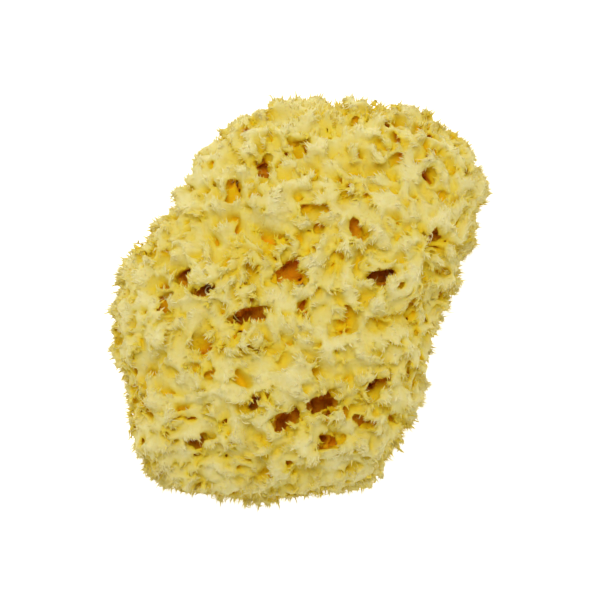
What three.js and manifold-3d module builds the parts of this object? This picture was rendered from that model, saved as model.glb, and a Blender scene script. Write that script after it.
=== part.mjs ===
// A bath sponge: the dried skeleton of one sea sponge, grown as a single piece.
//
// Units are millimetres and +Z is up. The sponge lies on the flat face where it was cut from
// its rock. Z runs up through its thickness and Y along its longest way. The origin is on the
// table, in the middle of the sponge's own box. The solid reaches to the tips of the soft tufts.

import * as THREE from 'three';
import { SimplexNoise } from 'three/addons/math/SimplexNoise.js';
import { mergeVertices } from 'three/addons/utils/BufferGeometryUtils.js';
import Module from 'manifold-3d';

const THICKNESS = 62;
const WAIST_HEIGHT = 27; // where the sponge is widest
const BELOW_CUT = 9; // how far the living sponge went on below the cut
const EDGE_ROUNDNESS = 0.8; // 1 is an ellipse in section, and less is a squarer edge

// How far the sponge reaches at its waist: bearing in degrees from +X towards +Y, and reach.
const OUTLINE = [
  [0, 50], [15, 56], [32, 72], [50, 74], [70, 68], [95, 66], [112, 62], [130, 55], [148, 52],
  [165, 57], [182, 62], [200, 62], [212, 66], [226, 73], [240, 72], [258, 67], [278, 63],
  [296, 60], [312, 55], [328, 49], [345, 47],
];

const SKIN_DETAIL = 14; // how often each edge of the icosahedron under the skin is split
const SWELLS = { size: 24, height: 2.2 }; // broad rises and hollows
const KNOBS = { size: 10, height: 1.5 }; // the clumps that the tufts stand on

// The large pores of the upper face. Each has the middle of its mouth (x, y), the mouth's
// length and width, the way its length runs (turn, degrees from +X), and the pore's depth.
const FACE_PORES = [
  { x: -15.5, y: -4, length: 12, width: 7, turn: 22, depth: 22 },
  { x: -2.5, y: 10.5, length: 10, width: 7, turn: -42, depth: 21 },
  { x: 26.5, y: 8, length: 9.5, width: 5, turn: 5, depth: 19 },
  { x: 7.5, y: -32, length: 10.5, width: 6.5, turn: 24, depth: 21 },
  { x: -3.5, y: -36, length: 9, width: 5.5, turn: 52, depth: 19 },
  { x: -15, y: -32, length: 7, width: 4.5, turn: 28, depth: 9 },
  { x: -30, y: 3.5, length: 7, width: 4, turn: -8, depth: 15 },
  { x: -37.5, y: 9.5, length: 8, width: 5, turn: -48, depth: 11 },
  { x: -42.5, y: 1.5, length: 6.5, width: 4.5, turn: 80, depth: 6 },
  { x: -12, y: 43, length: 7, width: 5, turn: 62, depth: 6.5 },
  { x: -21, y: 37, length: 7, width: 4.5, turn: 100, depth: 5.5 },
  { x: -0.5, y: 48, length: 6, width: 4, turn: 95, depth: 5 },
  { x: 25.5, y: 51, length: 6, width: 4, turn: 0, depth: 5 },
  { x: 42, y: 41, length: 8, width: 4, turn: 8, depth: 6 },
  { x: 17.5, y: 23, length: 8, width: 4.5, turn: 98, depth: 6.5 },
  { x: 5.5, y: 28.5, length: 6, width: 4, turn: 20, depth: 5 },
  { x: 44, y: 20, length: 7.5, width: 4, turn: 24, depth: 5 },
  { x: 25, y: -26, length: 7, width: 5.5, turn: 40, depth: 12 },
  { x: 21, y: -37.5, length: 7.5, width: 4, turn: 12, depth: 5.5 },
  { x: 9, y: -46, length: 7, width: 4.5, turn: 75, depth: 5.5 },
  { x: 14.5, y: -5, length: 10, width: 5, turn: 32, depth: 5.5 },
  { x: -31, y: -13, length: 7, width: 4.5, turn: 78, depth: 6 },
  { x: -33, y: -44, length: 7, width: 5, turn: 35, depth: 6 },
];

// Smaller pores all round the side, and the canals that the cut left open in the base. Each
// pair is the least and the most of a size, and reach is a canal's distance from the middle.
const SIDE_PORES = { count: 16, height: [15, 41], length: [5.5, 8.5], depth: [9, 14] };
const BASE_CANALS = { count: 9, reach: [12, 37], length: [6, 9.5], depth: [8, 12] };
const SMALL_PORE_SHARE = 0.7; // a small pore's width, as a share of its length
const GOLDEN_ANGLE = Math.PI * (3 - Math.sqrt(5)); // spreads the small pores evenly

// Half of a pore's section, from its floor to its mouth: the share of the mouth's half-width,
// and the share of the depth. Above the mouth the cutting shape flares, so that the lip is soft.
const PIT_SECTION = [[0, -1], [0.35, -0.93], [0.5, -0.78], [0.78, -0.4], [1, -0.06]];
const FLARE = 1.25;
const LIP = 4; // how far the cutting shape stands out of the mouth
const PORE_SIDES = 9;

const random = () => THREE.MathUtils.seededRandom();
THREE.MathUtils.seededRandom(7);
const noise = new SimplexNoise({ random });
const between = ([least, most]) => THREE.MathUtils.lerp(least, most, random());

const wasm = await Module();
wasm.setup();

function toManifold(geometry) {
  const bare = geometry.index ? geometry.toNonIndexed() : geometry.clone();
  bare.deleteAttribute('normal');
  bare.deleteAttribute('uv');
  const merged = mergeVertices(bare, 1e-4);
  return new wasm.Manifold(new wasm.Mesh({
    numProp: 3,
    vertProperties: merged.attributes.position.array,
    triVerts: new Uint32Array(merged.index.array),
  }));
}

function toGeometry(manifold) {
  const { vertProperties, triVerts } = manifold.getMesh();
  const geometry = new THREE.BufferGeometry();
  geometry.setAttribute('position', new THREE.BufferAttribute(vertProperties, 3));
  geometry.setIndex(new THREE.BufferAttribute(triVerts, 1));
  return geometry;
}

// The outline's reach at any bearing, smooth through the listed points and round the circle.
const listed = [...OUTLINE.slice(-2).map(([b, r]) => [b - 360, r]), ...OUTLINE,
  ...OUTLINE.slice(0, 2).map(([b, r]) => [b + 360, r])];
const outline = new THREE.CubicInterpolant(
  listed.map(([bearing]) => bearing), listed.map(([, reach]) => reach), 1);

function outlineReach(x, y) {
  const bearing = THREE.MathUtils.euclideanModulo(Math.atan2(y, x) * THREE.MathUtils.RAD2DEG, 360);
  return outline.evaluate(bearing)[0];
}

function relief(point, { size, height }) {
  return height * noise.noise3d(point.x / size, point.y / size, point.z / size);
}

// The outer skin: a ball drawn out to the outline and the thickness, then made lumpy.
function skinGeometry() {
  const ball = new THREE.IcosahedronGeometry(1, SKIN_DETAIL);
  const places = ball.attributes.position;
  const place = new THREE.Vector3();
  const outward = new THREE.Vector3();
  for (let i = 0; i < places.count; i += 1) {
    outward.fromBufferAttribute(places, i);
    const flat = Math.hypot(outward.x, outward.y);
    const across = flat < 1e-6 ? 0 : outlineReach(outward.x, outward.y) * flat ** EDGE_ROUNDNESS;
    const height = outward.z > 0 ? THICKNESS - WAIST_HEIGHT : WAIST_HEIGHT + BELOW_CUT;
    const rise = Math.sign(outward.z) * height * Math.abs(outward.z) ** EDGE_ROUNDNESS;
    place.set(across * outward.x / (flat || 1), across * outward.y / (flat || 1),
      WAIST_HEIGHT + rise);
    place.addScaledVector(outward, relief(place, SWELLS) + relief(place, KNOBS));
    places.setXYZ(i, ...place);
  }
  return ball;
}

// One pore as a solid to cut away: a rounded pit along -Z from a mouth at the origin.
function poreGeometry({ length, width, turn, depth }) {
  const profile = PIT_SECTION.map(([across, along]) => new THREE.Vector2(across, along * depth));
  profile.push(new THREE.Vector2(FLARE, LIP), new THREE.Vector2(0, LIP));
  const pit = new THREE.LatheGeometry(profile, PORE_SIDES).rotateX(Math.PI / 2);
  return pit.scale(length / 2, width / 2, 1).rotateZ(turn * THREE.MathUtils.DEG2RAD);
}

// Places a pore where a ray meets the skin, and leans its axis part of the way to the ray's.
const UPWARDS = new THREE.Vector3(0, 0, 1);
function placedPore(skin, from, along, size) {
  const [hit] = new THREE.Raycaster(from, along).intersectObject(skin);
  const axis = hit.face.normal.clone().sub(along).normalize();
  const turned = new THREE.Quaternion().setFromUnitVectors(UPWARDS, axis);
  return poreGeometry(size).applyQuaternion(turned).translate(...hit.point);
}

function facePores(skin) {
  const down = new THREE.Vector3(0, 0, -1);
  return FACE_PORES.map(({ x, y, ...size }) => (
    placedPore(skin, new THREE.Vector3(x, y, 2 * THICKNESS), down, size)));
}

// A small pore of a size between the least and the most, turned at random.
function smallPore({ length: lengths, depth: depths }) {
  const length = between(lengths);
  return {
    length, width: length * SMALL_PORE_SHARE, turn: 180 * random(), depth: between(depths),
  };
}

function sidePores(skin) {
  return Array.from({ length: SIDE_PORES.count }, (_, i) => {
    const outward = new THREE.Vector3(Math.cos(i * GOLDEN_ANGLE), Math.sin(i * GOLDEN_ANGLE), 0);
    const from = outward.clone().multiplyScalar(2 * THICKNESS).setZ(between(SIDE_PORES.height));
    return placedPore(skin, from, outward.negate(), smallPore(SIDE_PORES));
  });
}

function baseCanals(skin) {
  const up = new THREE.Vector3(0, 0, 1);
  return Array.from({ length: BASE_CANALS.count }, (_, i) => {
    const [nearest, farthest] = BASE_CANALS.reach;
    const reach = THREE.MathUtils.lerp(nearest, farthest, Math.sqrt(i / BASE_CANALS.count));
    const from = new THREE.Vector3(reach, 0, -THICKNESS).applyAxisAngle(up, i * GOLDEN_ANGLE);
    const size = smallPore(BASE_CANALS);
    return placedPore(skin, from, up, { ...size, depth: size.depth + BELOW_CUT });
  });
}

function spongeGeometry() {
  const skin = new THREE.Mesh(skinGeometry());
  const rock = new THREE.BoxGeometry(4 * THICKNESS, 4 * THICKNESS, THICKNESS)
    .translate(0, 0, -THICKNESS / 2);
  const pores = [...facePores(skin), ...sidePores(skin), ...baseCanals(skin)];
  const cut = [rock, ...pores].reduce(
    (left, taken) => left.subtract(toManifold(taken)), toManifold(skin.geometry));
  const geometry = toGeometry(cut);
  geometry.computeBoundingBox();
  const middle = geometry.boundingBox.getCenter(new THREE.Vector3());
  return geometry.translate(-middle.x, -middle.y, -geometry.boundingBox.min.z);
}

const fibre = new THREE.MeshStandardMaterial({ color: 0xe0cc7c, roughness: 0.95, metalness: 0 });
const sponge = new THREE.Mesh(spongeGeometry(), fibre);
sponge.name = 'sponge';
sponge.geometry.computeVertexNormals();

const part = new THREE.Group();
part.add(sponge);

export default part;
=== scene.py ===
"""A natural bath sponge, dried: a springy cushion of pale fibre, torn into leaning flaps.

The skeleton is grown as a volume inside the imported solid. Its pores, flaps and frayed lips are
fields of that volume. The fraying leaves small crumbs loose beside the lips, and small bubbles
closed inside the flaps. Fine strands are then set along the lips.
"""

import math

import bmesh
import bpy
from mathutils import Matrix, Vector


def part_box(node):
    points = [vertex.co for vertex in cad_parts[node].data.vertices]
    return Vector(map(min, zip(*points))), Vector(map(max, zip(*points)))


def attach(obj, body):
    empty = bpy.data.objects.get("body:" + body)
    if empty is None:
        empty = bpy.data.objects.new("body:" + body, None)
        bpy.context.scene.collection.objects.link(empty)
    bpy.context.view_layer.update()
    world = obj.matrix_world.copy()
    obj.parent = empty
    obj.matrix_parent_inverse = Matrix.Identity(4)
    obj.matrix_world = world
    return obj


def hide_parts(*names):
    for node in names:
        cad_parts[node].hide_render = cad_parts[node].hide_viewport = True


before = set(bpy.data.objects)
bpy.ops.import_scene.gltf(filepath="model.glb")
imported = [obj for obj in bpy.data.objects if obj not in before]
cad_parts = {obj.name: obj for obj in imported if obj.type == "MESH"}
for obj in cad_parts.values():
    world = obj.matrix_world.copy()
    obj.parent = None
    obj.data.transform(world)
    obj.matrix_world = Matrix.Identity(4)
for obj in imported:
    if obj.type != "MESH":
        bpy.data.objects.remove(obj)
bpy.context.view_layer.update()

# ---------------------------------------------------------------- sizes, in millimetres
MM = 0.001                  # one millimetre in metres
PER_METRE = 1000.0
SEED = 4

# the volume the skeleton is grown in
VOXEL = 0.66
VOLUME_MARGIN = 3.0         # clear space round the solid in it
MOST_TRIANGLES = 190_000
SKIN_INSET = 0.6            # how far the body stays under the tips of its strands
SKIN_WARPS = ((8.0, 7.0), (3.5, 4.4))   # spacing and size of the wandering of the outline
WARP_FREE_AT = 7.0          # the height at which the outline wanders fully
JOIN_WITHIN = 0.001         # corners of the solid this close are one
GROUND = (-9.0, -9.0, 0.0)  # the lowest place anything may reach, in metres

# pores and the flaps between them
CELL = 6.9                  # the usual distance from one pore to the next
CELL_WARP = (9.0, 6.0)      # spacing and size of the wandering of the pores
WALL_AT_LIP = 0.34          # half of a flap's thickness at its lip
WALL_UNEVEN = (3.0, 0.9)    # spacing and size of the unevenness of that
PORE_SLOPE = (0.45, 0.82)   # how fast flaps thicken with depth: deep pores to shallow ones
PORE_FLOOR = 14.5           # how deep the deepest pores go below the skin
FLOOR_UNEVEN = (5.0, 8.0)   # spacing and size of the unevenness of that
PORE_CLOSING = -0.2         # how far flaps reach into a large pore: below 0 they draw back
LEAN = 1.50                 # sideways run of a flap for each millimetre of depth
LEAN_SPACING = 24.0         # how far apart flaps lean differently
SPREAD = 0.85               # outward run of the pattern for each millimetre of depth
CREST = (6.0, 2.6)          # spacing and size of the rise and fall of the flaps
FRAY = (1.7, 3.4)           # spacing and size of the tears along a lip
FRILL = 3.3                 # the usual distance between the finer holes in a flap
FRILL_WARP = (2.5, 1.5)     # spacing and size of their wandering
FRILL_WALL = 0.30           # half of the thickness between those holes at a lip
FRILL_SLOPE = 0.85          # how fast it thickens with depth
WALL_JOIN = 0.40            # how softly flaps and skin run together
FRILL_JOIN = 0.30           # how softly the finer holes run into the flaps

# the way out of the sponge: from this height, and these shares of each axis
HEART_HEIGHT = 28.0
OUTWARD_SHARES = (0.6, 0.5, 1.9)

# how open a place is to the air, and the painted shade in its colour from that: the less open, the
# darker and redder
RAYS = 40
RAY_REACH = 26.0            # how far off a wall still shades a place
RAY_START = 0.12            # clear of the skin it leaves
OPEN_SHARE = 0.66           # paleness from how open a place is: painted shade, darker where closed in
RELIEF_SHARE = 0.36         # paleness from standing out from what is round it: painted highlight on lips, painted shade in creases
DEEP_PORE_SHADE_SHARE = 0.16          # painted shade: how much darker and redder the insides of deep pores are
MOTTLE_SHARE = 0.16

# offsets of the seed, one for each thing about a strand that is drawn by lot
WAY, SPIN, SIZE, KIND, TINT = 11, 12, 13, 14, 15


# ---------------------------------------------------------------- node expressions
class Wire:
    """A socket of a node tree. An expression on it adds the Math nodes it needs."""

    def __init__(self, nodes, socket):
        self.nodes = nodes
        self.socket = socket

    def __add__(self, other):
        return self.nodes.calc("ADD", self, other)

    def __radd__(self, other):
        return self.nodes.calc("ADD", other, self)

    def __sub__(self, other):
        return self.nodes.calc("SUBTRACT", self, other)

    def __rsub__(self, other):
        return self.nodes.calc("SUBTRACT", other, self)

    def __mul__(self, other):
        return self.nodes.calc("MULTIPLY", self, other)

    def __rmul__(self, other):
        return self.nodes.calc("MULTIPLY", other, self)

    def __truediv__(self, other):
        return self.nodes.calc("DIVIDE", self, other)

    def __rtruediv__(self, other):
        return self.nodes.calc("DIVIDE", other, self)

    def __pow__(self, other):
        return self.nodes.calc("POWER", self, other)

    def __rpow__(self, other):
        return self.nodes.calc("POWER", other, self)

    def __gt__(self, other):
        return self.nodes.calc("GREATER_THAN", self, other)

    def __lt__(self, other):
        return self.nodes.calc("LESS_THAN", self, other)


def is_vector(value):
    if isinstance(value, Wire):
        return value.socket.type in ("VECTOR", "RGBA")
    return isinstance(value, (tuple, list))


class Nodes:
    """Adds nodes to one tree, shader or geometry."""

    def __init__(self, tree):
        self.tree = tree

    def link(self, value, socket):
        if isinstance(value, Wire):
            self.tree.links.new(value.socket, socket)
        else:
            socket.default_value = value

    def node(self, kind, settings=None, inputs=None):
        """A node of this type, with its settings made first and then its sockets filled."""
        node = self.tree.nodes.new(kind)
        for name, value in (settings or {}).items():
            setattr(node, name, value)
        for name, value in (inputs or {}).items():
            self.link(value, node.inputs[name])
        return node

    def add(self, kind, settings=None, inputs=None, out=0):
        return Wire(self, self.node(kind, settings, inputs).outputs[out])

    def calc(self, operation, *values):
        if not any(is_vector(v) for v in values):
            return self.add("ShaderNodeMath", {"operation": operation}, dict(enumerate(values)))
        if operation == "MULTIPLY" and not all(is_vector(v) for v in values):
            vector, scale = values if is_vector(values[0]) else reversed(values)
            return self.add("ShaderNodeVectorMath", {"operation": "SCALE"},
                            {0: vector, "Scale": scale})
        return self.add("ShaderNodeVectorMath", {"operation": operation}, dict(enumerate(values)))

    def dot(self, a, b):
        return self.add("ShaderNodeVectorMath", {"operation": "DOT_PRODUCT"}, {0: a, 1: b}, "Value")

    def length(self, a):
        return self.add("ShaderNodeVectorMath", {"operation": "LENGTH"}, {0: a}, "Value")

    def unit(self, a):
        return self.add("ShaderNodeVectorMath", {"operation": "NORMALIZE"}, {0: a})

    def vector(self, x, y, z):
        return self.add("ShaderNodeCombineXYZ", None, {0: x, 1: y, 2: z})

    def part(self, vector, axis):
        return self.add("ShaderNodeSeparateXYZ", None, {0: vector}, axis)

    def ramp_to(self, value, low, high, to_low=0.0, to_high=1.0, kind="SMOOTHSTEP"):
        return self.add("ShaderNodeMapRange", {"interpolation_type": kind, "clamp": True}, {
            "Value": value, "From Min": low, "From Max": high, "To Min": to_low,
            "To Max": to_high})

    def noise(self, at, period, detail=1.0, rough=0.5, out="Fac"):
        """Perlin noise about 0.5. period is the size of its features."""
        return self.add("ShaderNodeTexNoise", {"noise_dimensions": "3D", "normalize": True}, {
            "Vector": at, "Scale": 1.0 / period, "Detail": detail, "Roughness": rough}, out)

    def noise_vector(self, at, period, size=None):
        """Noise in all three directions, from about -0.5 to 0.5 times size."""
        colour = self.noise(at, period, 0.0, out="Color")
        even = self.calc("SUBTRACT", colour, (0.5, 0.5, 0.5))
        return even if size is None else even * size

    def uneven(self, at, period, size, detail=1.0):
        """Noise from about -0.5 to 0.5 times size."""
        return (self.noise(at, period, detail) - 0.5) * size

    def cells(self, at, period, feature, out):
        """Scattered cells, about one period across."""
        return self.add("ShaderNodeTexVoronoi", {"feature": feature}, {
            "Vector": at, "Scale": 1.0 / period, "Randomness": 1.0}, out)

    def cell_walls(self, at, period):
        """The distance to the nearest wall between scattered cells."""
        return self.cells(at, period, "DISTANCE_TO_EDGE", "Distance") * period

    def soft_least(self, a, b, radius):
        """The smaller of two values, with the change from one to the other rounded."""
        return self.add("ShaderNodeMath", {"operation": "SMOOTH_MIN"}, {0: a, 1: b, 2: radius})

    def mix_colour(self, factor, a, b, blend="MIX"):
        return self.add("ShaderNodeMix", {"data_type": "RGBA", "blend_type": blend}, {
            0: factor, 6: a, 7: b}, 2)


def blank_tree(name, sizes):
    """A geometry tree with a geometry coming in, named sizes, and a geometry going out."""
    tree = bpy.data.node_groups.new(name, "GeometryNodeTree")
    face = tree.interface
    face.new_socket("Geometry", in_out="INPUT", socket_type="NodeSocketGeometry")
    for label, (kind, value) in sizes.items():
        socket = face.new_socket(label, in_out="INPUT", socket_type=kind)
        socket.default_value = value
    face.new_socket("Geometry", in_out="OUTPUT", socket_type="NodeSocketGeometry")
    nodes = Nodes(tree)
    entry = tree.nodes.new("NodeGroupInput")
    given = {s.name: Wire(nodes, s) for s in entry.outputs if s.name}
    return nodes, given


def finish_tree(nodes, geometry, material):
    """Ends a tree in plain geometry of one material."""
    realised = nodes.add("GeometryNodeRealizeInstances", None, {"Geometry": geometry})
    dressed = nodes.add("GeometryNodeSetMaterial", None, {
        "Geometry": realised, "Material": material})
    nodes.link(dressed, nodes.tree.nodes.new("NodeGroupOutput").inputs[0])


def grown(source, nodes, values=None):
    """Runs a tree on a mesh and gives the result as a new plain mesh object at the origin."""
    carrier = bpy.data.objects.new(nodes.tree.name + ".carrier", source)
    bpy.context.scene.collection.objects.link(carrier)
    modifier = carrier.modifiers.new("grow", "NODES")
    modifier.node_group = nodes.tree
    for item in nodes.tree.interface.items_tree:
        if item.in_out == "INPUT" and item.name in (values or {}):
            modifier[item.identifier] = values[item.name]
    depsgraph = bpy.context.evaluated_depsgraph_get()
    mesh = bpy.data.meshes.new_from_object(
        carrier.evaluated_get(depsgraph), preserve_all_data_layers=True, depsgraph=depsgraph)
    bpy.data.objects.remove(carrier)
    return mesh


def placed(mesh, name):
    """An object of this mesh, at the origin."""
    mesh.name = name
    piece = bpy.data.objects.new(name, mesh)
    bpy.context.scene.collection.objects.link(piece)
    return piece


def named(nodes, name, kind="FLOAT"):
    """An attribute stored on the mesh."""
    return nodes.add("GeometryNodeInputNamedAttribute", {"data_type": kind}, {"Name": name})


def stored_as(nodes, geometry, name, value, kind="FLOAT", domain="POINT"):
    """The geometry with one more attribute on it."""
    return nodes.add("GeometryNodeStoreNamedAttribute", {"data_type": kind, "domain": domain}, {
        "Geometry": geometry, "Name": name, "Value": value})


def random_between(nodes, low, high, seed):
    return nodes.add("FunctionNodeRandomValue", {"data_type": "FLOAT"}, {
        2: low, 3: high, "Seed": seed}, 1)


def random_vector(nodes, most, seed):
    """A different vector for each strand, no more than most along each axis."""
    return nodes.add("FunctionNodeRandomValue", {"data_type": "FLOAT_VECTOR"}, {
        0: (-most,) * 3, 1: (most,) * 3, "Seed": seed})


def from_envelope(nodes, mesh, place):
    """The nearest place on the mesh's convex envelope, and how far off it is in millimetres."""
    envelope = nodes.add("GeometryNodeConvexHull", None, {"Geometry": mesh})
    edge = nodes.node("GeometryNodeProximity", {"target_element": "FACES"}, {
        "Target": envelope, "Source Position": place})
    return Wire(nodes, edge.outputs["Position"]), Wire(nodes, edge.outputs["Distance"]) * PER_METRE


def above_ground(nodes, geometry):
    """The geometry with whatever would dip into the ground laid on it."""
    place = nodes.add("GeometryNodeInputPosition")
    return nodes.add("GeometryNodeSetPosition", None, {
        "Geometry": geometry, "Position": nodes.calc("MAXIMUM", place, GROUND)})


def outward_from_heart(nodes, p):
    """The way out of the sponge at a place in millimetres, much as its skin faces there."""
    return nodes.unit(nodes.calc("MULTIPLY", p - (0.0, 0.0, HEART_HEIGHT), OUTWARD_SHARES))


def flap_lean(nodes, p, outward):
    """The way along the skin that the flaps round a place lean."""
    sway = nodes.noise_vector(p, LEAN_SPACING)
    return nodes.unit(sway - outward * nodes.dot(sway, outward))


# ---------------------------------------------------------------- the fibre's finish
SHADED_FIBRE_COLOURS = [           # from the bottom of a pore to the edge of a lip: painted shade, darkest and reddest deep in the pores
    (0.00, (0.680, 0.180, 0.002)),
    (0.23, (0.840, 0.365, 0.002)),
    (0.32, (0.840, 0.520, 0.002)),
    (0.40, (0.805, 0.565, 0.006)),
    (0.50, (0.795, 0.610, 0.040)),
    (0.60, (0.775, 0.622, 0.098)),
    (0.70, (0.760, 0.647, 0.200)),
    (0.78, (0.785, 0.690, 0.295)),
    (1.00, (0.920, 0.830, 0.470)),
]
STAIN = (0.96, 0.88, 0.60, 1.0)         # taken off the colour where the tint is low
BLEACH_AND_HIGHLIGHT = (0.92, 0.85, 0.55, 1.0)    # what open places go towards where it is high: partly random bleaching, partly painted highlight on open places and raised lips
MOST_STAIN, MOST_BLEACH_AND_HIGHLIGHT = 0.35, 0.45
GRAIN_SPACING = 0.8
BUMP_STRENGTH = 0.7
GLOW_REACH = 0.9            # how far light goes under the skin, most of it red
GLOW_COLOUR = (1.0, 0.7, 0.35)


def fibre_material(name, glow, grain, shine):
    """Sponge fibre. The map's U is how pale the place is, with painted shade and highlight in it,
    and its V a tint.

    glow is the share of light carried under the skin, grain the height of the finest bumps.
    """
    material = bpy.data.materials.new(name)
    material.use_nodes = True
    nodes = Nodes(material.node_tree)
    shader = material.node_tree.nodes["Principled BSDF"]
    uv = nodes.add("ShaderNodeUVMap", {"uv_map": "OFBake"})
    paleness = nodes.part(uv, 0)
    tint = nodes.part(uv, 1)
    ramp = nodes.node("ShaderNodeValToRGB", None, {"Fac": paleness})
    elements = ramp.color_ramp.elements
    for stop, _ in SHADED_FIBRE_COLOURS[1:-1]:
        elements.new(stop)
    for element, (stop, colour) in zip(elements, SHADED_FIBRE_COLOURS):
        element.position = stop
        element.color = (*colour, 1.0)
    stained = nodes.ramp_to(tint, 0.0, 0.5, MOST_STAIN, 0.0, "LINEAR")
    warm = nodes.mix_colour(stained, Wire(nodes, ramp.outputs["Color"]), STAIN, "MULTIPLY")
    # Paler where the tint is high, only in pale places: random bleaching in part, painted highlight
    # in part.
    bleach_and_highlight = nodes.ramp_to(tint, 0.5, 1.0, 0.0, MOST_BLEACH_AND_HIGHLIGHT, "LINEAR")
    bleach_and_highlight = bleach_and_highlight * nodes.ramp_to(paleness, 0.55, 0.95)
    nodes.link(nodes.mix_colour(bleach_and_highlight, warm, BLEACH_AND_HIGHLIGHT), shader.inputs["Base Color"])
    place = nodes.add("ShaderNodeTexCoord", None, None, "Object")
    fibres = nodes.noise(place, GRAIN_SPACING * MM, 3.0, 0.65)
    nodes.link(nodes.ramp_to(fibres, 0.3, 0.7, 0.80, 0.98), shader.inputs["Roughness"])
    bump = nodes.add("ShaderNodeBump", None, {
        "Strength": BUMP_STRENGTH, "Distance": grain * MM, "Height": fibres})
    nodes.link(bump, shader.inputs["Normal"])
    shader.inputs["Specular IOR Level"].default_value = shine
    shader.inputs["Subsurface Weight"].default_value = glow
    shader.inputs["Subsurface Radius"].default_value = GLOW_COLOUR
    shader.inputs["Subsurface Scale"].default_value = GLOW_REACH * MM
    return material


fibre = fibre_material("soft_yellow_fibre", glow=0.4, grain=0.35, shine=0.12)
strand_fibre = fibre_material("loose_yellow_strand", glow=0.0, grain=0.05, shine=0.0)


# ---------------------------------------------------------------- the skeleton
def skeleton_tree(low, high):
    """Grows the skeleton inside the solid, as a volume between two corners in metres."""
    steps = {f"Resolution {axis}": ("NodeSocketInt", round((h - l) / (VOXEL * MM)))
             for axis, l, h in zip("XYZ", low, high)}
    nodes, given = blank_tree("skeleton", {
        "Cell mm": ("NodeSocketFloat", CELL),
        "Frill mm": ("NodeSocketFloat", FRILL),
        "Lean": ("NodeSocketFloat", LEAN),
        "Inset mm": ("NodeSocketFloat", SKIN_INSET),
        **steps,
    })
    hull = given["Geometry"]
    place = nodes.add("GeometryNodeInputPosition")
    p = place * PER_METRE

    # How deep a place is in the solid. The places wander, and so does the outline with them.
    large, small = (nodes.noise_vector(p, *warp) for warp in SKIN_WARPS)
    spot = (p + (large + small) * nodes.ramp_to(nodes.part(p, 2), 0.0, WARP_FREE_AT)) * MM
    near = nodes.node("GeometryNodeProximity", {"target_element": "FACES"}, {
        "Target": hull, "Source Position": spot})
    closest = Wire(nodes, near.outputs["Position"])
    gap = Wire(nodes, near.outputs["Distance"]) * PER_METRE
    normal = nodes.add("GeometryNodeFieldOnDomain", {
        "data_type": "FLOAT_VECTOR", "domain": "POINT"}, {
        "Value": nodes.add("GeometryNodeInputNormal")})
    facing = nodes.add("GeometryNodeSampleNearestSurface", {"data_type": "FLOAT_VECTOR"}, {
        "Mesh": hull, "Value": normal, "Sample Position": spot})
    outside = nodes.dot(spot - closest, facing) > 0.0
    depth = gap * (1.0 - 2.0 * outside)

    # Flaps lean as they come up, so the pattern is read from a place slid along with depth.
    outward = outward_from_heart(nodes, p)
    reach = nodes.calc("MAXIMUM", depth, 0.0)
    read = p + outward * (reach * SPREAD) + flap_lean(nodes, p, outward) * (reach * given["Lean"])
    read = read + nodes.noise_vector(p, *CELL_WARP)

    # Each flap's lip: under the skin, up and down in crests, and frayed. The flat base is kept.
    wall = nodes.cell_walls(read, given["Cell mm"])
    cell = nodes.cells(read, given["Cell mm"], "F1", "Color")
    slope = nodes.ramp_to(nodes.part(cell, 0), 0.0, 1.0, *PORE_SLOPE, "LINEAR")
    crest = nodes.ramp_to(nodes.noise(read, CREST[0]), 0.3, 0.7, 0.0, CREST[1])
    outer = nodes.ramp_to(nodes.dot(facing, outward), 0.15, 0.75)
    off_base = nodes.ramp_to(nodes.part(facing, 2), -0.97, -0.75)
    sunk = ((given["Inset mm"] + crest) * outer - (1.0 - outer) * PORE_CLOSING) * off_base
    under = nodes.calc("MAXIMUM", depth - sunk, 0.0)
    fray = nodes.noise(p, FRAY[0], 1.0, 0.6)
    lip = sunk + (fray - 0.5) * FRAY[1] * off_base

    # Flaps thicken with depth, and the finer frill cuts into them.
    thick = WALL_AT_LIP + under * slope + nodes.uneven(p, *WALL_UNEVEN)
    body = nodes.soft_least(depth - lip, thick - wall, WALL_JOIN)
    frill = nodes.cell_walls(read + nodes.noise_vector(p, *FRILL_WARP), given["Frill mm"])
    body = nodes.soft_least(body, FRILL_WALL + under * FRILL_SLOPE - frill, FRILL_JOIN)

    # Pores have a floor, measured down from the solid's convex envelope.
    nearest, off = from_envelope(nodes, hull, place)
    middle = tuple((l + h) / 2 for l, h in zip(low, high))
    beyond = nodes.dot(place - nearest, place - middle) > 0.0
    below = off * (1.0 - beyond)
    body = nodes.calc("MAXIMUM", body, below - PORE_FLOOR + nodes.uneven(p, *FLOOR_UNEVEN))

    density = nodes.calc("MINIMUM", nodes.calc("MAXIMUM", 0.5 + body * 0.25, 0.0), 1.0)
    volume = nodes.add("GeometryNodeVolumeCube", None, {
        "Density": density, "Background": 0.0, "Min": low, "Max": high,
        **{name: given[name] for name in steps}})
    mesh = nodes.add("GeometryNodeVolumeToMesh", {"resolution_mode": "GRID"}, {
        "Volume": volume, "Threshold": 0.5, "Adaptivity": 0.0})
    smooth = nodes.add("GeometryNodeSetShadeSmooth", None, {"Geometry": above_ground(nodes, mesh)})
    finish_tree(nodes, smooth, fibre)
    return nodes


def merged_copy(node):
    """A CAD node's mesh with its loose triangles joined."""
    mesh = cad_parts[node].data.copy()
    work = bmesh.new()
    work.from_mesh(mesh)
    bmesh.ops.remove_doubles(work, verts=work.verts, dist=JOIN_WITHIN * MM)
    for face in work.faces:
        face.smooth = True
    work.to_mesh(mesh)
    work.free()
    if "custom_normal" in mesh.attributes:
        mesh.attributes.remove(mesh.attributes["custom_normal"])
    return mesh


def thinned(mesh, most):
    """The mesh with its flattest places in fewer, larger triangles."""
    carrier = placed(mesh, "thinned")
    count = sum(len(face.vertices) - 2 for face in mesh.polygons)
    thin = carrier.modifiers.new("thin", "DECIMATE")
    thin.ratio = min(1.0, most / count)
    thin.use_collapse_triangulate = True
    depsgraph = bpy.context.evaluated_depsgraph_get()
    result = bpy.data.meshes.new_from_object(
        carrier.evaluated_get(depsgraph), preserve_all_data_layers=True, depsgraph=depsgraph)
    bpy.data.objects.remove(carrier)
    return result


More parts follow.
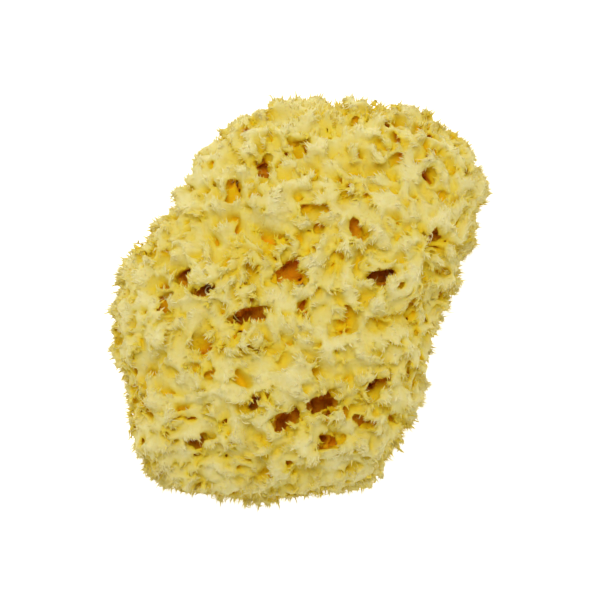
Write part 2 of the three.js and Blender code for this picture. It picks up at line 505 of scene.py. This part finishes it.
# ---------------------------------------------------------------- how open each place is
def openness_tree():
    """Casts short rays from each vertex. The share that gets clear is how open it is."""
    nodes, given = blank_tree("openness", {
        "Reach mm": ("NodeSocketFloat", RAY_REACH),
    })
    mesh = given["Geometry"]
    place = nodes.add("GeometryNodeInputPosition")
    normal = nodes.add("GeometryNodeInputNormal")
    p = place * PER_METRE
    start = place + normal * (RAY_START * MM)
    clear, total = 0.0, 0.0
    for i in range(RAYS):
        rise = 1 - (2 * i + 1) / RAYS       # a spiral of directions, evenly over a ball
        bearing = i * math.pi * (3 - math.sqrt(5))
        flat = math.sqrt(1 - rise * rise)
        along = (flat * math.cos(bearing), flat * math.sin(bearing), rise)
        weight = nodes.calc("MAXIMUM", nodes.dot(normal, along), 0.0)
        ray = nodes.node("GeometryNodeRaycast", None, {
            "Target Geometry": mesh, "Source Position": start, "Ray Direction": along,
            "Ray Length": given["Reach mm"] * MM})
        hit = Wire(nodes, ray.outputs["Is Hit"])
        share = Wire(nodes, ray.outputs["Hit Distance"]) / (given["Reach mm"] * MM)
        seen = 1.0 - hit * (1.0 - share)
        clear = weight * seen + clear
        total = weight + total
    openness = nodes.add("GeometryNodeBlurAttribute", {"data_type": "FLOAT"}, {
        "Value": clear / total, "Iterations": 2})
    stored = stored_as(nodes, mesh, "openness", openness)

    # A lip points from the middle of what is round it to itself.
    middle = nodes.add("GeometryNodeBlurAttribute", {"data_type": "FLOAT_VECTOR"}, {
        "Value": place, "Iterations": 5})
    stored = stored_as(nodes, stored, "lip", (place - middle) * PER_METRE, "FLOAT_VECTOR")
    raised = nodes.dot(place - middle, normal) * PER_METRE

    own = named(nodes, "openness")
    mottle = nodes.noise(p, 11.0, 2.0) + nodes.uneven(p, 1.3, 1.3)
    mottle = nodes.ramp_to(mottle, 0.2, 0.8, 0.0, 0.8)
    # Raised lips take a high tint, so the bleach paints a highlight on them.
    tint = nodes.calc("MAXIMUM", mottle, nodes.ramp_to(raised, 0.45, 1.0))
    _, below = from_envelope(nodes, mesh, place)
    # Painted shade: the insides of deep, closed-in pores go darker and redder.
    deep_pore_shade = nodes.ramp_to(below, 6.0, 13.0) * nodes.ramp_to(own, 0.45, 0.72, 1.0, 0.0)
    # Painted highlight on raised lips and painted shade in creases.
    relief = nodes.ramp_to(raised, -0.60, 0.90, 0.0, RELIEF_SHARE, "LINEAR")
    # Painted shade: the less open a place, the lower its paleness, so the darker and redder its
    # colour.
    pale = own * OPEN_SHARE + relief - deep_pore_shade * DEEP_PORE_SHADE_SHARE + nodes.uneven(p, 1.2, MOTTLE_SHARE)
    mapped = stored_as(nodes, stored, "OFBake", nodes.vector(pale, tint, 0.0), "FLOAT2", "CORNER")
    finish_tree(nodes, mapped, fibre)
    return nodes


# ---------------------------------------------------------------- strands along the lips
SWING = 0.12                # how far a strand wanders sideways, as a share of its length
PALEST = 0.99


def strand(nodes, sides, lengths, width, flatness, bend, twist):
    """One tapering fibre of unit length, up Z and bent over by this many radians.

    It is a narrow cone of this many sides and lengths. flatness squeezes it across, and twist
    says how far it swings from side to side on its way up.
    """
    cone = nodes.add("GeometryNodeMeshCone", {"fill_type": "NGON"}, {
        "Vertices": sides, "Side Segments": lengths, "Radius Top": 0.0,
        "Radius Bottom": width, "Depth": 1.0})
    place = nodes.add("GeometryNodeInputPosition")
    up = nodes.part(place, 2)
    cone = stored_as(nodes, cone, "along", up)
    turn = up * bend
    arc_x = (1.0 - nodes.calc("COSINE", turn)) / bend
    arc_z = nodes.calc("SINE", turn) / bend
    swing = nodes.calc("SINE", up * twist) * SWING
    out = nodes.part(place, 0) * flatness
    bent = nodes.vector(arc_x + out * nodes.calc("COSINE", turn), nodes.part(place, 1) + swing,
                        arc_z - out * nodes.calc("SINE", turn))
    return nodes.add("GeometryNodeSetPosition", None, {"Geometry": cone, "Position": bent})


def aimed(nodes, along, outward, spin):
    """Turns a strand's Z this way and its broad side outward, then spins it round itself."""
    turned = nodes.add("FunctionNodeAlignRotationToVector", {"axis": "Z"}, {"Vector": along})
    across = nodes.add("ShaderNodeVectorMath", {"operation": "CROSS_PRODUCT"}, {
        0: outward, 1: along})
    turned = nodes.add("FunctionNodeAlignRotationToVector", {"axis": "Y", "pivot_axis": "Z"}, {
        "Rotation": turned, "Vector": across})
    spun = nodes.add("FunctionNodeAxisAngleToRotation", None, {
        "Axis": (0.0, 0.0, 1.0), "Angle": spin})
    return nodes.add("FunctionNodeRotateRotation", {"rotation_space": "LOCAL"}, {
        0: turned, 1: spun})


def rooted_tree(name, sizes, where, which_way, shapes):
    """Strands rooted on the body in one quarter of it.

    sizes holds the most strands to a square millimetre, their shortest and longest in
    millimetres, the tints drawn from, how much paler a tip and a root are than the skin, and how
    far a strand may spin round itself. where gives the share of the full density, which_way the
    direction, and shapes a list of (sides, lengths, width, flatness, bend, twist) for the kinds
    of strand.
    """
    nodes, given = blank_tree(name, {
        "Quarter": ("NodeSocketInt", 0),
        "Density": ("NodeSocketFloat", sizes["density"]),
        "Shortest mm": ("NodeSocketFloat", sizes["shortest"]),
        "Longest mm": ("NodeSocketFloat", sizes["longest"]),
        "Seed": ("NodeSocketInt", SEED),
    })
    body, seed = given["Geometry"], given["Seed"]
    normal = nodes.add("GeometryNodeInputNormal")
    lip = named(nodes, "lip", "FLOAT_VECTOR")
    p = nodes.add("GeometryNodeInputPosition") * PER_METRE
    outward = outward_from_heart(nodes, p)
    bearing = nodes.calc("ARCTAN2", nodes.part(p, 1), nodes.part(p, 0)) * (2.0 / math.pi)
    here = nodes.calc("COMPARE", nodes.calc("FLOOR", bearing + 2.0), given["Quarter"], 0.5)
    share = where(nodes, p, normal, lip, named(nodes, "openness"), outward) * here
    share = share * nodes.ramp_to(nodes.part(p, 2), 0.6, 3.0)
    scattered = nodes.node("GeometryNodeDistributePointsOnFaces", {
        "distribute_method": "RANDOM"}, {
        "Mesh": body, "Density": share * (given["Density"] * PER_METRE ** 2), "Seed": seed})
    skin = Wire(nodes, scattered.outputs["Normal"])

    along = which_way(nodes, p, skin, lip, outward, seed + WAY)
    lowest = nodes.part(p, 2) / (given["Longest mm"] * -1.0)     # tips stay above the ground
    along = nodes.vector(nodes.part(along, 0), nodes.part(along, 1),
                         nodes.calc("MAXIMUM", nodes.part(along, 2), lowest))
    spin = random_between(nodes, -sizes["spin"], sizes["spin"], seed + SPIN)
    luck = random_between(nodes, 0.0, 1.0, seed + SIZE)
    size = given["Shortest mm"] + (given["Longest mm"] - given["Shortest mm"]) * luck ** 2.0
    kinds = nodes.node("GeometryNodeGeometryToInstance")
    for shape in shapes:
        nodes.link(strand(nodes, *shape), kinds.inputs[0])
    chosen = nodes.add("FunctionNodeRandomValue", {"data_type": "INT"}, {
        4: 0, 5: len(shapes) - 1, "Seed": seed + KIND}, 2)
    points = stored_as(nodes, Wire(nodes, scattered.outputs["Points"]), "tint",
                       random_between(nodes, *sizes["tints"], seed + TINT))
    stood = nodes.add("GeometryNodeInstanceOnPoints", None, {
        "Points": points, "Instance": Wire(nodes, kinds.outputs[0]), "Pick Instance": True,
        "Instance Index": chosen, "Rotation": aimed(nodes, along, outward, spin),
        "Scale": nodes.vector(size * MM, size * MM, size * MM)})

    real = nodes.add("GeometryNodeRealizeInstances", None, {"Geometry": stood})
    # Painted shade: a strand is darker and redder where the skin it stands on is closed in.
    pale = named(nodes, "openness") * OPEN_SHARE + named(nodes, "along") * sizes["paler_tip"]
    pale = nodes.calc("MINIMUM", pale + sizes["root"], PALEST)
    mapped = stored_as(nodes, above_ground(nodes, real), "OFBake",
                       nodes.vector(pale, named(nodes, "tint"), 0.0), "FLOAT2", "CORNER")
    finish_tree(nodes, mapped, strand_fibre)
    return nodes


def clumps(nodes, p, spacing, low, high, least=0.0):
    """A share that comes and goes over the skin, from least to all."""
    return nodes.ramp_to(nodes.noise(p, spacing), low, high, least)


def strays(nodes, p, spacing, size, own, seed):
    """How far a strand strays together with its neighbours, and how far by itself."""
    return nodes.noise_vector(p, spacing, size), random_vector(nodes, own, seed)


def fringe_share(nodes, p, normal, lip, openness, outward):
    """Threads at the sharpest lips."""
    sharp = nodes.ramp_to(nodes.length(lip), 0.55, 0.90)
    facing = nodes.ramp_to(nodes.dot(nodes.unit(lip), normal), -0.2, 0.5)
    clumped = clumps(nodes, p, 1.5, 0.42, 0.58, 0.12)
    return sharp * facing * clumped * nodes.ramp_to(openness, 0.35, 0.7)


def fringe_way(nodes, p, skin, lip, outward, seed):
    combed, loose = strays(nodes, p, 2.2, 2.0, 0.28, seed)
    lean = flap_lean(nodes, p, outward)
    return nodes.unit(nodes.unit(lip) * 0.8 + lean * 0.9 + outward * 0.1 + combed + loose)


def teeth_share(nodes, p, normal, lip, openness, outward):
    """Small flat points in line with each flap, all along its lip."""
    sharp = nodes.ramp_to(nodes.length(lip), 0.50, 0.85)
    facing = nodes.ramp_to(nodes.dot(nodes.unit(lip), normal), 0.0, 0.6)
    clumped = clumps(nodes, p, 1.3, 0.42, 0.58, 0.15)
    return sharp * facing * clumped * nodes.ramp_to(openness, 0.25, 0.6)


def teeth_way(nodes, p, skin, lip, outward, seed):
    combed, loose = strays(nodes, p, 1.6, 1.2, 0.30, seed)
    lean = flap_lean(nodes, p, outward)
    return nodes.unit(nodes.unit(lip) * 0.9 + lean * 1.1 - outward * 0.1 + combed + loose)


def tuft_share(nodes, p, normal, lip, openness, outward):
    """Pointed tufts, mostly round the sides."""
    sharp = nodes.ramp_to(nodes.length(lip), 0.35, 0.75)
    facing = nodes.ramp_to(nodes.dot(outward, normal), 0.0, 0.6)
    clumped = clumps(nodes, p, 1.8, 0.48, 0.60, 0.03)
    side = nodes.ramp_to(nodes.part(outward, 2), 0.35, 0.80, 1.0, 0.10)
    return sharp * facing * clumped * side * nodes.ramp_to(openness, 0.35, 0.7)


def tuft_way(nodes, p, skin, lip, outward, seed):
    combed, loose = strays(nodes, p, 3.0, 1.4, 0.16, seed)
    return nodes.unit(nodes.unit(lip) * 0.5 + outward * 0.9 + combed + loose)


def down_share(nodes, p, normal, lip, openness, outward):
    """Short down, wherever the skin is open to the air."""
    return nodes.ramp_to(openness, 0.30, 0.75) * clumps(nodes, p, 1.1, 0.4, 0.6, 0.2)


def down_way(nodes, p, skin, lip, outward, seed):
    """Along the surface, with neighbours combed much the same way."""
    combed, loose = strays(nodes, p, 1.8, 1.5, 0.35, seed)
    combed = nodes.unit(nodes.noise_vector(p, 6.0)) + combed + loose
    flat = combed - skin * nodes.dot(combed, skin)
    return nodes.unit(nodes.unit(flat) + skin * 0.45)


def curl_share(nodes, p, normal, lip, openness, outward):
    """A few long curls, here and there."""
    sharp = nodes.ramp_to(nodes.length(lip), 0.65, 1.00)
    return sharp * nodes.ramp_to(openness, 0.30, 0.5) * clumps(nodes, p, 7.0, 0.5, 0.6)


# ---------------------------------------------------------------- the pieces
low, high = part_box("sponge")
low = tuple(v - VOLUME_MARGIN * MM for v in low)
high = tuple(v + VOLUME_MARGIN * MM for v in high)
body_mesh = grown(merged_copy("sponge"), skeleton_tree(low, high))
body_mesh = thinned(body_mesh, MOST_TRIANGLES)
body_mesh = grown(body_mesh, openness_tree())
sponge = placed(body_mesh, "sponge_skeleton")

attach(sponge, "root")
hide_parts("sponge")

QUARTERS = ("south_west", "south_east", "north_east", "north_west")
teeth = rooted_tree("teeth", {
    "density": 7.0, "shortest": 0.5, "longest": 1.9, "tints": (0.40, 0.75),
    "paler_tip": 0.16, "root": 0.14, "spin": 0.4,
}, teeth_share, teeth_way, [(3, 2, width, 0.35, bend, 0.5) for width, bend in (
    (0.16, 0.4), (0.22, 0.8), (0.28, 0.5), (0.14, 1.3))])
fringe = rooted_tree("fringe", {
    "density": 2.0, "shortest": 0.8, "longest": 2.6, "tints": (0.40, 0.85),
    "paler_tip": 0.22, "root": 0.14, "spin": math.pi,
}, fringe_share, fringe_way, [(3, 3, 0.06, 1.0, bend, 3.0) for bend in (0.6, 1.2, 1.9, 2.6)])
tufts = rooted_tree("tufts", {
    "density": 3.0, "shortest": 0.8, "longest": 3.0, "tints": (0.25, 0.55),
    "paler_tip": 0.14, "root": 0.07, "spin": math.pi,
}, tuft_share, tuft_way, [(3, 2, width, 1.0, bend, 2.0) for width, bend in (
    (0.09, 0.3), (0.12, 0.5), (0.16, 0.3), (0.10, 0.8))])
down = rooted_tree("down", {
    "density": 0.9, "shortest": 0.4, "longest": 1.2, "tints": (0.20, 0.50),
    "paler_tip": 0.08, "root": 0.08, "spin": math.pi,
}, down_share, down_way, [(3, 1, width, 1.0, 0.4, 1.0) for width in (0.10, 0.14)])
curls = rooted_tree("curls", {
    "density": 0.45, "shortest": 2.5, "longest": 6.0, "tints": (0.40, 0.75),
    "paler_tip": 0.20, "root": 0.18, "spin": math.pi,
}, curl_share, fringe_way, [(3, 9, 0.045, 0.6, bend, 5.0) for bend in (1.6, 2.8, 3.9, 4.8)])

for tree in (teeth, fringe, tufts, down, curls):
    for quarter, where in enumerate(QUARTERS):
        mesh = grown(body_mesh, tree, {"Quarter": quarter})
        piece = placed(mesh, f"{tree.tree.name}_{where}")
        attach(piece, "root")


# ---------------------------------------------------------------- floor, light and camera
FLOOR_HALF = 3.0            # metres, as are all the lengths from here on
FLOOR_COLOUR = (0.9, 0.9, 0.9, 1.0)
FLOOR_GLOW = 0.7
WHITE = (1.0, 1.0, 1.0, 1.0)
STUDIO_BRIGHTNESS = 0.60
KEY_PLACE = (-0.05, 0.27, 0.76)
KEY_AIM = (0.0, 0.0, 0.03)
KEY_ACROSS = 0.36
KEY_WATTS = 2.8
WIDTH_SHOWN = 0.1935483871  # at the sponge's widest place
WAIST = 0.027
CAMERA_PLACE = (0.0005, 0.0, 0.62)
SENSOR_MM = 36.0


def floor_material():
    material = bpy.data.materials.new("pale_floor")
    material.use_nodes = True
    shader = material.node_tree.nodes["Principled BSDF"]
    shader.inputs["Base Color"].default_value = FLOOR_COLOUR
    shader.inputs["Roughness"].default_value = 0.9
    shader.inputs["Emission Color"].default_value = WHITE
    shader.inputs["Emission Strength"].default_value = FLOOR_GLOW
    return material


floor_mesh = bpy.data.meshes.new("floor")
floor_mesh.from_pydata([(-FLOOR_HALF, -FLOOR_HALF, 0), (FLOOR_HALF, -FLOOR_HALF, 0),
                        (FLOOR_HALF, FLOOR_HALF, 0), (-FLOOR_HALF, FLOOR_HALF, 0)],
                       [], [(0, 1, 2, 3)])
floor = placed(floor_mesh, "floor")
floor.data.materials.append(floor_material())

world = bpy.data.worlds.new("studio")
bpy.context.scene.world = world
world.use_nodes = True
world.node_tree.nodes["Background"].inputs["Color"].default_value = WHITE
world.node_tree.nodes["Background"].inputs["Strength"].default_value = STUDIO_BRIGHTNESS


def soft_light(name, at, aim, size, power):
    """A round lamp of this width at one place, aimed at another."""
    data = bpy.data.lights.new(name, "AREA")
    data.shape = "DISK"
    data.size = size
    data.energy = power
    lamp = bpy.data.objects.new(name, data)
    bpy.context.scene.collection.objects.link(lamp)
    lamp.location = at
    direction = Vector(aim) - Vector(at)
    lamp.rotation_euler = direction.to_track_quat("-Z", "Y").to_euler()


soft_light("key", KEY_PLACE, KEY_AIM, KEY_ACROSS, KEY_WATTS)

lens = bpy.data.cameras.new("camera")
lens.sensor_width = SENSOR_MM
lens.lens = SENSOR_MM * (CAMERA_PLACE[2] - WAIST) / WIDTH_SHOWN
lens.clip_start = 0.01
camera = bpy.data.objects.new("camera", lens)
bpy.context.scene.collection.objects.link(camera)
camera.location = CAMERA_PLACE
bpy.context.scene.camera = camera
bpy.context.scene.view_settings.view_transform = "Standard"
